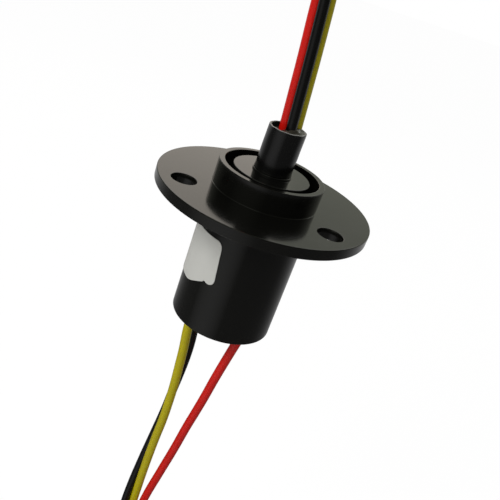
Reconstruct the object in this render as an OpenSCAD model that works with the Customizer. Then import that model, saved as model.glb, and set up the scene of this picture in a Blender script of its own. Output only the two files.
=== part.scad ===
// Capsule slip ring: a flanged moulded housing that stays still, and a rotor on two
// ball bearings that carries three circuits through it. Millimetres, +Z up along the
// shaft towards the rotor's leads, with Z = 0 on the flange's mounting face.

/* [Housing] */
// Outer diameter of the body below the flange
body_d = 22; // [21.4:0.1:26]
// Length of the body below the mounting face
body_len = 28.1; // [27.6:0.1:40]
// Wall thickness of the body
body_wall = 1.5; // [1.1:0.05:1.7]
// Outer diameter of the collar above the flange
collar_d = 21.9; // [21.8:0.1:26]
// Height of the collar above the flange
collar_h = 4.9; // [4.5:0.1:6]
// Diameter of the open recess inside the collar
recess_d = 19.5; // [17.5:0.1:19.9]
// Depth of that recess, measured down from the rim
recess_depth = 4.1; // [3.6:0.1:4.6]
// Rounding of the moulded outer edges
edge_r = 0.2; // [0.1:0.05:0.6]

/* [Flange] */
// Outer diameter of the flange
flange_d = 44.6; // [42:0.1:60]
// Thickness of the flange
flange_t = 2.2; // [1.6:0.1:4]
// Diameter of the circle through the screw holes
hole_pcd = 34.4; // [30:0.1:37]
// Diameter of each screw hole
hole_d = 5.2; // [3:0.1:6]
// Number of screw holes
hole_count = 3; // [3:1:6]
// Direction of the first screw hole, in degrees from +X
hole_turn = 86; // [0:1:359]

/* [Upper bearing] */
// Bore of the upper bearing, and the shaft that fills it
ub_bore = 7; // [6.8:0.1:7.2]
// Outer diameter of the upper bearing
ub_od = 14; // [13.8:0.1:14.4]
// Width of the upper bearing
ub_w = 3.5; // [3.2:0.1:3.8]
// Diameter of its balls
ub_ball_d = 2; // [1.8:0.05:2.1]
// Number of its balls
ub_ball_count = 9; // [6:1:10]

/* [Lower bearing] */
// Bore of the lower bearing, and the journal that fills it
lb_bore = 4; // [3.6:0.1:4.2]
// Outer diameter of the lower bearing
lb_od = 9; // [8.8:0.1:9.4]
// Width of the lower bearing
lb_w = 2.5; // [2.3:0.1:3]
// Diameter of its balls
lb_ball_d = 1.3; // [1.2:0.05:1.4]
// Number of its balls
lb_ball_count = 8; // [6:1:9]

/* [Rotor] */
// Diameter of the disc that closes the collar
disc_d = 15.9; // [14.6:0.1:17]
// Thickness of that disc
disc_t = 2.4; // [2:0.1:2.6]
// How far the disc lies below the collar's rim
disc_recess = 0.35; // [0:0.05:0.8]
// Diameter of the neck that the sleeve grips
neck_d = 6.4; // [5.8:0.1:6.8]
// Height of the neck above the disc
neck_h = 6.2; // [4:0.1:7]
// Bore that the rotor's wires run down
wire_bore = 4.8; // [4.7:0.05:5]
// Wall of the shrink sleeve
sleeve_wall = 0.55; // [0.3:0.05:0.8]
// Length of the shrink sleeve
sleeve_len = 9; // [8.4:0.1:12]
// Distance from the sleeve's cut rim down to the sealant in it
sealant_depth = 1.2; // [0.5:0.1:1.6]

/* [Contact rings] */
// Outer diameter of each contact ring
ring_d = 9.6; // [9.2:0.1:10]
// Diameter at the bottom of the ring's groove
groove_d = 8.4; // [8.1:0.1:8.8]
// Width of each contact ring
ring_w = 3.2; // [2.8:0.1:3.4]
// Width of the groove that the brushes run in
groove_w = 2.2; // [1.8:0.1:2.4]
// Outer diameter of the insulating spacers
spacer_d = 10.4; // [9.8:0.1:10.8]
// Width of the spacers between rings
spacer_w = 1.8; // [1.4:0.1:2]
// Length of the spacer above the top ring
top_spacer_w = 3.05; // [2.8:0.05:3.4]
// Width of the spacer below the bottom ring
end_spacer_w = 1.5; // [1.2:0.1:1.7]
// Thickness of the retaining clip
clip_t = 0.6; // [0.4:0.05:0.8]

/* [Brushes] */
// Thickness of each brush board
board_t = 1; // [0.8:0.1:1.2]
// Width of each brush board
board_w = 11.2; // [10.6:0.1:11.8]
// Distance from the shaft's axis to a board's inner face
board_y = 5.9; // [5.7:0.05:6.1]
// Diameter of the brush wire
brush_d = 0.3; // [0.2:0.02:0.4]
// How far a brush reaches past the middle of its ring
brush_reach = 2; // [1:0.1:3]

/* [End cap] */
// Thickness of the end cap
cap_t = 2.4; // [2:0.1:3]
// How far the cap lies inside the body's end
cap_recess = 0.4; // [0:0.05:0.8]
// Wall of the cap's bearing seat
seat_wall = 1.1; // [0.7:0.05:1.2]
// Depth of the sockets that the boards stand in
socket_depth = 0.5; // [0.3:0.05:1]

/* [Leads] */
// Diameter of each lead over its insulation
lead_d = 2.1; // [1.8:0.05:2.15]
// Diameter of the tinned conductor
core_d = 1.3; // [0.8:0.05:1.5]
// Length of the stripped and tinned ends
tip_len = 6; // [3:0.5:10]
// Wall of the end cap outside each lead's hole
exit_wall = 1.05; // [0.8:0.05:1.2]
// Clearance between the leads inside the body and the brushes
lead_gap = 0.31; // [0.2:0.01:0.35]

/* [Label] */
// Height of the blank label
label_h = 12.3; // [6:0.1:18]
// Width of the label's flat sheet, seen straight on
label_w = 13.6; // [8:0.1:18]
// Direction that the label faces, in degrees from +X
label_turn = 209; // [0:1:359]
// Thickness of the label
label_t = 0.12; // [0.06:0.02:0.3]
// Distance from the mounting face down to the label
label_drop = 6; // [3:0.1:8]
// Radius of the label's corners
label_corner = 1.6; // [0.5:0.1:3]

/* [Fits] */
// Gap all round what is seated or glued in place
seat_gap = 0.02; // [0.01:0.01:0.04]
// Running gap between balls and races, and brushes and rings
run_gap = 0.04; // [0.03:0.01:0.06]

/* [Hidden] */
$fn = 64;
eps = 0.01;

// Heights, from the rim down
z_rim = flange_t + collar_h;
z_recess = z_rim - recess_depth;
z_disc = z_rim - disc_recess;
foot_h = 0.35;
foot_wall = 0.85;
z_foot = z_disc + foot_h;
z_neck = z_disc + neck_h;
z_sleeve = z_foot + sleeve_len;
z_sealant = z_sleeve - sealant_depth;
z_disc_under = z_disc - disc_t;
shoulder_h = 0.4;
z_ub_top = z_disc_under - shoulder_h;
z_ub = z_ub_top - ub_w;
lip_h = 1.2;
lip_in = 0.8;
z_lip = z_ub - lip_h;
function stack_z(k) = z_ub - top_spacer_w - (k - 1) * (ring_w + spacer_w);
z_stack_end = stack_z(3) - ring_w - end_spacer_w;
tail_h = 0.7;
z_shaft_end = z_stack_end - clip_t - tail_h;
step_h = 1.5;
z_lb_top = z_shaft_end - step_h;
z_lb = z_lb_top - lb_w;
journal_tail = 0.6;
tail_gap = 0.5;
journal_gap = 0.3;
z_cap = -body_len + cap_recess;
z_cap_top = z_cap + cap_t;
board_top_gap = 0.5;
z_board_top = z_lip - board_top_gap;
z_bore_end = stack_z(3) - ring_w;

// Radii
cavity_r = body_d / 2 - body_wall;
shaft_r = ub_bore / 2;
journal_r = lb_bore / 2;
step_r = journal_r + 0.7;
groove_clip_r = shaft_r - 0.4;
clip_r = shaft_r + 1.4;
ub_pitch_r = (ub_bore + ub_od) / 4;
lb_pitch_r = (lb_bore + lb_od) / 4;
ub_land = 0.65;
lb_land = 0.45;
cap_edge = 0.2;
boss_drop = 0.2;
pad_edge = 0.6;
cage_lip = 0.3;
lb_cage_lip = 0.25;
ub_cage_wall = 0.8;
lb_cage_wall = 0.5;
sleeve_r = neck_d / 2 + 3 * seat_gap + sleeve_wall;
brush_x = groove_d / 2 + run_gap + brush_d / 2;
brush_z = 0.5;
bore_wire_r = 1.25;
wire_stub_r = 0.45;
wire_hole_r = 0.6;

// The three circuits, in the order red, black, yellow
COLOURS = ["#c8201a", "#141414", "#b3a70c"];
lead_exit_x = brush_x + brush_d / 2 + lead_gap + lead_d / 2;
lead_exit_r = cavity_r - 2 * seat_gap - exit_wall - lead_d / 2;
exit_turn = acos(lead_exit_x / lead_exit_r);
EXIT_TURN = [-exit_turn, 180 - exit_turn, exit_turn - 180];
BORE_TURN = [150, -90, 30];

// Routes of the free leads, from where each leaves the part to its hank
STATOR_RED = [[5.9, -4.4, -27.7], [5.3, -3.9, -31.6], [4.5, -3.1, -37.4], [3.7, -2.6, -43.4],
    [3, -2.2, -49.4], [2.3, -1.9, -54.5], [1.5, -1.6, -60], [0.5, -1.1, -68.2],
    [-0.9, -0.6, -78], [-2.3, -0.2, -88], [-2.8, 0, -94], [-2.9, 0, -99.5]];
STATOR_BLACK = [[-5.9, 4.4, -27.7], [-5.5, 4.2, -32.4], [-4.8, 3.8, -38.3], [-4.6, 3.3, -43.6],
    [-4.7, 2.9, -49.4], [-4.9, 2.6, -54.8], [-5.1, 2.2, -61], [-5.6, 1.7, -68.4],
    [-6.4, 1, -78], [-7, 0.2, -88], [-7.1, 0, -94], [-7.1, 0, -99.5]];
STATOR_YELLOW = [[-5.9, -4.4, -27.7], [-5.7, -3.9, -32.4], [-5.2, -3.1, -38.3], [-4.9, -2.6, -43.6],
    [-4.6, -2.2, -49.4], [-4.5, -1.9, -54.6], [-4.5, -1.6, -60], [-4.8, -1.2, -67.8],
    [-5, -0.8, -78], [-5, -0.2, -88], [-5, 0, -94], [-5, 0, -99.5]];
ROTOR_RED = [[-0.6, 0.6, 14.9], [-1.2, 0.6, 22], [-1.9, 0.6, 30], [-2.7, 0.6, 38], [-3, 0.6, 42],
    [-3.1, 2.2, 48.1], [-3.2, 6.7, 52.5], [-3.3, 12.8, 54.2], [-3.4, 18.8, 52.5], [-3.5, 23.3, 48.1],
    [-3.5, 24.9, 42], [-2.8, 24.9, 34], [-1.8, 24.9, 24], [-0.9, 24.9, 13], [-1.7, 25.1, 7.5],
    [-2.1, 25.4, 2], [-2.1, 25.5, -4]];
ROTOR_BLACK = [[0.8, -1.2, 14.9], [0.2, -1.2, 22], [-0.5, -1.2, 30], [-1.3, -1.2, 38], [-1.7, -1.2, 42],
    [-1.8, 0.7, 49], [-1.9, 5.8, 54.1], [-2, 12.8, 56], [-2.2, 19.7, 54.1], [-2.3, 24.8, 49],
    [-2.4, 26.7, 42], [-1.7, 26.7, 34], [-0.7, 26.7, 24], [0.2, 26.7, 13], [0.1, 26.2, 7.5],
    [0, 25.7, 2], [0, 25.5, -4]];
ROTOR_YELLOW = [[1.7, 0.7, 14.9], [1.1, 0.7, 22], [0.4, 0.7, 30], [-0.4, 0.7, 38], [-0.8, 0.7, 42],
    [-0.9, 2.3, 48], [-1, 6.7, 52.4], [-1.1, 12.8, 54], [-1.1, 18.8, 52.4], [-1.2, 23.2, 48],
    [-1.2, 24.8, 42], [-0.5, 24.8, 34], [0.4, 24.8, 24], [1.3, 24.8, 13], [1.9, 25.1, 7.5],
    [2.1, 25.4, 2], [2.1, 25.5, -4]];

// Hanks: where the first run stands, and how its folds nest
rotor_run_y = 25.5;
rotor_fold_z = -8.5;
rotor_run_len = 32;
rotor_fold_r = 7.35;
stator_run_x = -5;
stator_fold_z = -104;
stator_run_len = 28;
stator_fold_r = 8.4;
stator_tip_drop = 14.5;
rotor_tip_drop = 27;
tie_wall = 0.9;
tie_h = 2.4;
tie_head = [4, 3.2, 3];

// ---- shapes that repeat ----

// A turned disc with its outer edge rounded at the top, the bottom or both
module turned(r, z0, z1, top = 0, low = 0) {
    rotate_extrude() union() {
        translate([0, z0 + low]) square([r, z1 - z0 - top - low]);
        if (top > 0) {
            translate([0, z1 - top]) square([r - top, top]);
            translate([r - top, z1 - top]) intersection() {
                circle(top);
                square(top);
            }
        }
        if (low > 0) {
            translate([0, z0]) square([r - low, low]);
            translate([r - low, z0 + low]) intersection() {
                circle(low);
                translate([0, -low]) square(low);
            }
        }
    }
}

module tube(r_out, r_in, z0, z1) {
    difference() {
        translate([0, 0, z0]) cylinder(r = r_out, h = z1 - z0);
        translate([0, 0, z0 - 1]) cylinder(r = r_in, h = z1 - z0 + 2);
    }
}

module ring_of(r, count, turn = 0) {
    for (k = [0 : count - 1]) rotate([0, 0, turn + k * 360 / count]) translate([r, 0, 0]) children();
}

// The ball track that both races share
module track(pitch_r, ball_d, z) {
    translate([0, 0, z]) rotate_extrude() translate([pitch_r, 0]) circle(ball_d / 2 + run_gap);
}

module race(r_out, r_in, z0, w, pitch_r, ball_d) {
    difference() {
        tube(r_out, r_in, z0, z0 + w);
        track(pitch_r, ball_d, z0 + w / 2);
    }
}

module balls(pitch_r, ball_d, count, z) {
    translate([0, 0, z]) ring_of(pitch_r, count) sphere(ball_d / 2);
}

module cage(pitch_r, ball_d, count, z, wall, h) {
    difference() {
        tube(pitch_r + wall / 2, pitch_r - wall / 2, z - h / 2, z + h / 2);
        translate([0, 0, z]) ring_of(pitch_r, count) rotate([0, 90, 0])
            cylinder(r = ball_d / 2 + run_gap, h = 3 * wall, center = true);
    }
}

// A round lead that follows its route, eight-sided, with level ends
function unit(v) = v / norm(v);
function heading(p, i) = i == 0 ? unit([0, 0, p[1][2] - p[0][2]])
    : i == len(p) - 1 ? [0, 0, -1] : unit(p[i + 1] - p[i - 1]);
function lead_ring(p, i) = let (t = heading(p, i), u = unit(cross(t, [1, 0, 0])), w = cross(t, u))
    [for (a = [0 : 45 : 315]) p[i] + lead_d / 2 * (cos(a) * u + sin(a) * w)];
module lead(p) {
    n = len(p);
    points = [for (i = [0 : n - 1]) each lead_ring(p, i)];
    walls = [for (i = [0 : n - 2], k = [0 : 7]) let (a = i * 8 + k, b = i * 8 + (k + 1) % 8)
        each [[a, b, b + 8], [a, b + 8, a + 8]]];
    polyhedron(points, concat([[for (k = [7 : -1 : 0]) k]], walls, [[for (k = [0 : 7]) (n - 1) * 8 + k]]));
}

// Two round ends joined by straight sides, standing on Y and Z and running along X
module round_ended(r, y, z_top, length, x0, x1) {
    translate([x0, y, z_top]) rotate([0, 90, 0]) linear_extrude(x1 - x0) union() {
        circle(r);
        translate([length, 0]) circle(r);
        translate([0, -r]) square([length, 2 * r]);
    }
}

// The outer shape of a folded hank: fold_r is its widest fold, and side says which way it opens
module hank(x, run_y, side, fold_z, run_len, fold_r, turns_in) {
    half = 1.5 * lead_d;
    inner_r = fold_r - lead_d * (turns_in + 0.5);
    mid_y = run_y + side * fold_r;
    difference() {
        round_ended(fold_r + lead_d / 2, mid_y, fold_z, run_len, x - half, x + half);
        round_ended(inner_r, mid_y, fold_z, run_len, x - half - 1, x + half + 1);
    }
}

// A cable tie pulled round a hank, with its head on the open side
module tie(x, run_y, side, z, fold_r) {
    hx = 1.5 * lead_d + seat_gap;
    hy = fold_r + lead_d / 2 + seat_gap;
    mid_y = run_y + side * fold_r;
    translate([x, mid_y, z]) {
        difference() {
            translate([-hx - tie_wall, -hy - tie_wall, 0]) cube([2 * (hx + tie_wall), 2 * (hy + tie_wall), tie_h]);
            translate([-hx, -hy, -1]) cube([2 * hx, 2 * hy, tie_h + 2]);
        }
        translate([hx + tie_wall - eps, -tie_head[0] / 2, tie_h / 2 - tie_head[2] / 2])
            cube([tie_head[1], tie_head[0], tie_head[2]]);
    }
}

// The stripped and tinned ends, lying against the inside of a hank's nearer or farther runs
module tips(x, y, z) {
    for (k = [-1 : 1]) translate([x + k * lead_d, y, z]) cylinder(d = core_d, h = tip_len);
}

// ---- the part that stays still ----

module housing() {
    color("#1c1b19") difference() {
        union() {
            turned(body_d / 2, -body_len, eps, 0, 2 * edge_r);
            turned(flange_d / 2, 0, flange_t, edge_r, edge_r);
            turned(collar_d / 2, flange_t - eps, z_rim, edge_r);
        }
        translate([0, 0, z_recess]) cylinder(d = recess_d, h = z_rim);
        translate([0, 0, z_ub]) cylinder(r = ub_od / 2 + seat_gap, h = z_rim);
        cylinder(r = ub_od / 2 - lip_in, h = 200, center = true);
        translate([0, 0, -body_len - 1]) cylinder(r = cavity_r, h = body_len + 1 + z_lip);
        translate([0, 0, -1]) ring_of(hole_pcd / 2, hole_count, hole_turn) cylinder(d = hole_d, h = flange_t + 2);
    }
}

module end_cap() {
    seat_r = lb_od / 2 + seat_gap;
    color("#1c1b19") difference() {
        union() {
            turned(cavity_r - seat_gap, z_cap, z_cap_top, 0, cap_edge);
            translate([0, 0, z_cap_top - eps]) cylinder(r = seat_r + seat_wall, h = z_lb_top - boss_drop - z_cap_top);
        }
        translate([0, 0, z_lb]) cylinder(r = seat_r, h = lb_w + 1);
        translate([0, 0, z_lb - journal_tail - tail_gap]) cylinder(r = step_r + journal_gap, h = lb_w + 1);
        for (a = EXIT_TURN) rotate([0, 0, a]) translate([lead_exit_r, 0, z_cap - 1])
            cylinder(r = lead_d / 2 + seat_gap, h = z_lb_top + 1 - z_cap);
        for (side = [-1, 1]) translate([0, side * (board_y + board_t / 2), z_cap_top])
            cube([board_w + 2 * seat_gap, board_t + 2 * seat_gap, 2 * socket_depth], center = true);
    }
}

module label() {
    r = body_d / 2 + seat_gap;
    top = -label_drop;
    color("#d4d4ce") difference() {
        intersection() {
            translate([0, 0, top - label_h - 1]) cylinder(r = r + label_t, h = label_h + 2);
            rotate([0, 0, label_turn]) translate([0, 0, top - label_h / 2]) rotate([90, 0, 90])
                linear_extrude(body_d) union() {
                    square([label_w - 2 * label_corner, label_h], center = true);
                    square([label_w, label_h - 2 * label_corner], center = true);
                    for (sx = [-1, 1], sy = [-1, 1])
                        translate([sx * (label_w / 2 - label_corner), sy * (label_h / 2 - label_corner)]) circle(label_corner);
                }
        }
        translate([0, 0, top - label_h - 2]) cylinder(r = r, h = label_h + 4);
    }
}

module upper_bearing_outer() {
    color("silver") race(ub_od / 2, ub_pitch_r + ub_land, z_ub, ub_w, ub_pitch_r, ub_ball_d);
}

module lower_bearing_outer() {
    color("silver") race(lb_od / 2, lb_pitch_r + lb_land, z_lb, lb_w, lb_pitch_r, lb_ball_d);
}

// side is -1 for the front board and 1 for the back one
module brush_board(side) {
    z0 = z_cap_top - socket_depth;
    color("#2f5d3a") difference() {
        translate([-board_w / 2, side > 0 ? board_y : -board_y - board_t, z0])
            cube([board_w, board_t, z_board_top - z0]);
        for (k = [1 : 3], sx = [-1, 1])
            translate([sx * brush_x, 0, stack_z(k) - ring_w / 2 + side * brush_z]) rotate([90, 0, 0])
                cylinder(r = brush_d / 2 + seat_gap, h = 40, center = true);
    }
}

// A hairpin of spring wire: both legs run past the ring and its bend lies behind the board
module brush(side, k) {
    back = board_y + board_t + brush_d / 2 + seat_gap;
    color("#d9b24c") translate([0, 0, stack_z(k) - ring_w / 2 + side * brush_z]) {
        for (sx = [-1, 1]) {
            translate([sx * brush_x, side * back, 0]) rotate([side * 90, 0, 0])
                cylinder(d = brush_d, h = back + brush_reach);
            translate([sx * brush_x, side * back, 0]) sphere(d = brush_d);
        }
        translate([0, side * back, 0]) rotate([0, 90, 0]) cylinder(d = brush_d, h = 2 * brush_x, center = true);
    }
}

// The stretch of a lead inside the body, with its bare end on the brush board
module stator_wire(k) {
    p = lead_exit_r * [cos(EXIT_TURN[k]), sin(EXIT_TURN[k])];
    top = stack_z(k + 1) - ring_w;
    side = p[1] < 0 ? -1 : 1;
    end = [(p[0] < 0 ? -1 : 1) * (board_w / 2 - pad_edge), side * (board_y - seat_gap)];
    run = end - p;
    color(COLOURS[k]) {
        translate([p[0], p[1], z_cap]) cylinder(d = lead_d, h = top - z_cap);
        translate([p[0], p[1], top - eps]) {
            cylinder(r = wire_stub_r, h = 1);
            translate([0, 0, 1]) sphere(wire_stub_r);
            translate([0, 0, 1]) rotate([0, 90, atan2(run[1], run[0])])
                cylinder(r = wire_stub_r, h = norm(run) - wire_stub_r * 0.6);
        }
    }
}

module stator_hank() {
    color("#3a3632") hank(stator_run_x, 0, -1, stator_fold_z, stator_run_len, stator_fold_r, 1);
}

module stator_tie() {
    color("#26262a") tie(stator_run_x, 0, -1, stator_fold_z - stator_run_len / 2, stator_fold_r);
}

module stator_tips() {
    inner_r = stator_fold_r - 1.5 * lead_d;
    color("#b9b4aa") tips(stator_run_x, -stator_fold_r - inner_r + core_d / 2 + seat_gap,
        stator_fold_z - stator_tip_drop);
}

// ---- the ball sets, which roll round at their own speed ----

module upper_cage() {
    color("#c9b26a") cage(ub_pitch_r, ub_ball_d, ub_ball_count, z_ub + ub_w / 2, ub_cage_wall, ub_w - 2 * cage_lip);
}

module upper_balls() {
    color("silver") balls(ub_pitch_r, ub_ball_d, ub_ball_count, z_ub + ub_w / 2);
}

module lower_cage() {
    color("#c9b26a") cage(lb_pitch_r, lb_ball_d, lb_ball_count, z_lb + lb_w / 2, lb_cage_wall, lb_w - 2 * lb_cage_lip);
}

module lower_balls() {
    color("silver") balls(lb_pitch_r, lb_ball_d, lb_ball_count, z_lb + lb_w / 2);
}

// ---- the rotor ----

module rotor_hub() {
    color("#1a1a1a") difference() {
        union() {
            turned(disc_d / 2, z_disc_under, z_disc, edge_r, edge_r / 2);
            translate([0, 0, z_disc - eps]) cylinder(d = neck_d, h = z_neck - z_disc);
            turned(neck_d / 2 + foot_wall, z_disc - eps, z_foot, 0.12);
            translate([0, 0, z_ub_top]) cylinder(r = ub_pitch_r - ub_land, h = shoulder_h + eps);
            translate([0, 0, z_shaft_end]) cylinder(r = shaft_r, h = z_ub_top - z_shaft_end + eps);
            translate([0, 0, z_lb_top]) cylinder(r = step_r, h = step_h + eps);
            translate([0, 0, z_lb - journal_tail]) cylinder(r = journal_r, h = lb_w + journal_tail + eps);
        }
        translate([0, 0, z_bore_end]) cylinder(d = wire_bore, h = 60);
        tube(shaft_r + 1, groove_clip_r, z_stack_end - clip_t - seat_gap, z_stack_end);
        for (k = [0 : 2]) rotate([0, 0, BORE_TURN[k]]) translate([0, 0, stack_z(k + 1) - ring_w / 2])
            rotate([0, 90, 0]) cylinder(r = wire_hole_r, h = shaft_r + 1);
    }
}

module upper_bearing_inner() {
    color("silver") race(ub_pitch_r - ub_land, shaft_r + seat_gap, z_ub, ub_w, ub_pitch_r, ub_ball_d);
}

module lower_bearing_inner() {
    color("silver") race(lb_pitch_r - lb_land, journal_r + seat_gap, z_lb, lb_w, lb_pitch_r, lb_ball_d);
}

module contact_ring(k) {
    z = stack_z(k) - ring_w;
    color("#e0b84a") difference() {
        tube(ring_d / 2, shaft_r + seat_gap, z, z + ring_w);
        tube(ring_d / 2 + 1, groove_d / 2, z + (ring_w - groove_w) / 2, z + (ring_w + groove_w) / 2);
    }
}

module ring_spacer(k) {
    top = k == 1 ? z_ub : stack_z(k - 1) - ring_w;
    low = k == 4 ? z_stack_end : stack_z(k);
    color("#e8e4d6") tube(spacer_d / 2, shaft_r + seat_gap, low, top);
}

module retaining_clip() {
    gap_angle = 60;
    color("#8d9095") translate([0, 0, z_stack_end - clip_t]) rotate([0, 0, gap_angle / 2])
        rotate_extrude(angle = 360 - gap_angle)
            translate([groove_clip_r + seat_gap, 0]) square([clip_r - groove_clip_r - seat_gap, clip_t - seat_gap]);
}

module shrink_sleeve() {
    color("#111111") difference() {
        turned(sleeve_r, z_foot, z_sleeve, 0.12);
        translate([0, 0, z_foot - 1]) cylinder(r = sleeve_r - sleeve_wall, h = sleeve_len + 2);
    }
}

module sealant() {
    color("#55534c") translate([0, 0, z_neck]) cylinder(r = sleeve_r - sleeve_wall - seat_gap, h = z_sealant - z_neck);
}

// The stretch of a lead inside the hollow shaft, with its bare end on its ring
module rotor_wire(k) {
    z = stack_z(k + 1) - ring_w / 2;
    color(COLOURS[k]) rotate([0, 0, BORE_TURN[k]]) {
        translate([bore_wire_r, 0, z - 1]) cylinder(r = lead_d / 2, h = z_neck - z + 1);
        translate([bore_wire_r, 0, z]) rotate([0, 90, 0])
            cylinder(r = wire_stub_r, h = shaft_r - bore_wire_r);
    }
}

module rotor_hank() {
    color("#3a3632") hank(0, rotor_run_y, 1, rotor_fold_z, rotor_run_len, rotor_fold_r, 1);
}

module rotor_tie() {
    color("#26262a") tie(0, rotor_run_y, 1, rotor_fold_z - rotor_run_len / 2, rotor_fold_r);
}

module rotor_tips() {
    inner_r = rotor_fold_r - 1.5 * lead_d;
    color("#b9b4aa") tips(0, rotor_run_y + rotor_fold_r - inner_r + core_d / 2 + seat_gap,
        rotor_fold_z - rotor_tip_drop);
}

// ---- everything, in the order of NODES ----

housing();
end_cap();
label();
upper_bearing_outer();
lower_bearing_outer();
brush_board(-1);  // brush_board_front
brush_board(1);  // brush_board_back
brush(-1, 1);  // brush_front_1
brush(-1, 2);  // brush_front_2
brush(-1, 3);  // brush_front_3
brush(1, 1);  // brush_back_1
brush(1, 2);  // brush_back_2
brush(1, 3);  // brush_back_3
stator_wire(0);  // stator_wire_red
stator_wire(1);  // stator_wire_black
stator_wire(2);  // stator_wire_yellow
color(COLOURS[0]) lead(STATOR_RED);  // stator_lead_red
color(COLOURS[1]) lead(STATOR_BLACK);  // stator_lead_black
color(COLOURS[2]) lead(STATOR_YELLOW);  // stator_lead_yellow
stator_hank();
stator_tie();
stator_tips();
upper_cage();
upper_balls();
lower_cage();
lower_balls();
rotor_hub();
upper_bearing_inner();
lower_bearing_inner();
contact_ring(1);  // contact_ring_1
contact_ring(2);  // contact_ring_2
contact_ring(3);  // contact_ring_3
ring_spacer(1);  // ring_spacer_1
ring_spacer(2);  // ring_spacer_2
ring_spacer(3);  // ring_spacer_3
ring_spacer(4);  // ring_spacer_4
retaining_clip();
shrink_sleeve();
sealant();
rotor_wire(0);  // rotor_wire_red
rotor_wire(1);  // rotor_wire_black
rotor_wire(2);  // rotor_wire_yellow
color(COLOURS[0]) lead(ROTOR_RED);  // rotor_lead_red
color(COLOURS[1]) lead(ROTOR_BLACK);  // rotor_lead_black
color(COLOURS[2]) lead(ROTOR_YELLOW);  // rotor_lead_yellow
rotor_hank();
rotor_tie();
rotor_tips();
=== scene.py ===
# %% [markdown]
# # A capsule slip ring
#
# A slip ring carries electric current from a part that stands still to a part that turns.
# This one has a black moulded housing with a round screw flange. A rotor turns in it on two
# ball bearings, with three leads out of its sleeved neck and three out of the housing's end.
#
# The engineering model is already made, and it gives every size. This lesson dresses it: it
# keeps the solids whose shape is right, and builds the pieces whose detail shows.

# %% Load the engineering model
import math
import bpy
import bmesh
from mathutils import Matrix, Vector


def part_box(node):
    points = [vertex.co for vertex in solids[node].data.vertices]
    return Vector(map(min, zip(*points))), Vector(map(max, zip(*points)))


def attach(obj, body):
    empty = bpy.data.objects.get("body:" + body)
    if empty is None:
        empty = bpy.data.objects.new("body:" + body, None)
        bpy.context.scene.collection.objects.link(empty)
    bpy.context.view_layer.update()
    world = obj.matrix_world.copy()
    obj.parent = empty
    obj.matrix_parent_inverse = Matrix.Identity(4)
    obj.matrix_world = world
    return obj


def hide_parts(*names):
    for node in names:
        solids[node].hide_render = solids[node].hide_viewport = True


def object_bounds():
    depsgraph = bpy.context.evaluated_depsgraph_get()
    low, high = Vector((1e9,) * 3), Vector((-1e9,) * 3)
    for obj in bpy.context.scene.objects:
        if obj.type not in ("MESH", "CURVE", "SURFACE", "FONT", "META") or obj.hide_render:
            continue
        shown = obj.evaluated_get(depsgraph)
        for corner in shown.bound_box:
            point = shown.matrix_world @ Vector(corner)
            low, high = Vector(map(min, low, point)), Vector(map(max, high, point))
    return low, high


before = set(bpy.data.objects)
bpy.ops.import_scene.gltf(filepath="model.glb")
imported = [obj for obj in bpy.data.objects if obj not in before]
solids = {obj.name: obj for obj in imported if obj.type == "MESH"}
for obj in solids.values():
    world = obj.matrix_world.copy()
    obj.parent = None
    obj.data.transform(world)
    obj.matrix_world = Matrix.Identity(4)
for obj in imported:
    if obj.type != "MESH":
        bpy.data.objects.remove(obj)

box_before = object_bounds()
wide_mm = [round(1000 * (b - a), 1) for a, b in zip(*box_before)]
print("solids:", len(solids), "box in mm:", wide_mm)

# %% [markdown]
# ## Small helpers
#
# Blender counts in metres and the drawing of this part counts in millimetres, so one value
# turns one into the other. Colours are written as the hex values that a screen shows, and one
# function turns them into the linear values that light is counted in.

# %% Millimetres, colours and nodes
MM = 0.001


def linear(hex_colour):
    """A screen colour such as "#c8201a" as linear red, green, blue and alpha."""
    parts = [int(hex_colour[i:i + 2], 16) / 255 for i in (1, 3, 5)]
    return tuple(p / 12.92 if p <= 0.04045 else ((p + 0.055) / 1.055) ** 2.4 for p in parts) + (1,)


def add(tree, kind, values=None, links=None, **settings):
    """Adds one node: its settings, the values of its inputs, and the links into them."""
    node = tree.nodes.new(kind)
    for name, value in settings.items():
        setattr(node, name, value)
    for name, value in (values or {}).items():
        node.inputs[name].default_value = value
    for name, source in (links or {}).items():
        tree.links.new(source, node.inputs[name])
    return node


def new_tree(name, output, **inputs):
    """A Geometry Nodes tree with named inputs and one output, and the inputs' sockets."""
    tree = bpy.data.node_groups.new(name, "GeometryNodeTree")
    tree.is_modifier = True
    for label, kind in inputs.items():
        tree.interface.new_socket(label, in_out="INPUT", socket_type="NodeSocket" + kind)
    tree.interface.new_socket(output, in_out="OUTPUT", socket_type="NodeSocketGeometry")
    return tree, add(tree, "NodeGroupInput").outputs


def finish_tree(tree, output, mesh, finish):
    """Ends a tree: instances become real mesh, and the mesh gets its material."""
    real = add(tree, "GeometryNodeRealizeInstances", None, {"Geometry": mesh})
    dressed = add(tree, "GeometryNodeSetMaterial", None, {"Geometry": real.outputs[0], "Material": finish})
    add(tree, "NodeGroupOutput", None, {output: dressed.outputs["Geometry"]})
    return tree


def new_piece(name, mesh, body, finish, slot, *replaced):
    """Makes a mesh an object that moves with a body, wears a finish and stands for some solids."""
    piece = bpy.data.objects.new(name, mesh)
    bpy.context.scene.collection.objects.link(piece)
    if finish is not None and not mesh.materials:
        mesh.materials.append(finish)
    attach(piece, body)
    if replaced:
        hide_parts(*replaced)
    return piece


print("mid grey is", round(linear("#808080")[0], 3), "in linear light")

# %% [markdown]
# ## The camera
#
# A camera is a place, three directions and a focal length. This one stands in front of the
# part and a little above its flange, close to it, and is rolled to the side, so that the part
# leans in its view. The frame is shifted a little sideways instead of the camera turned.

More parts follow.
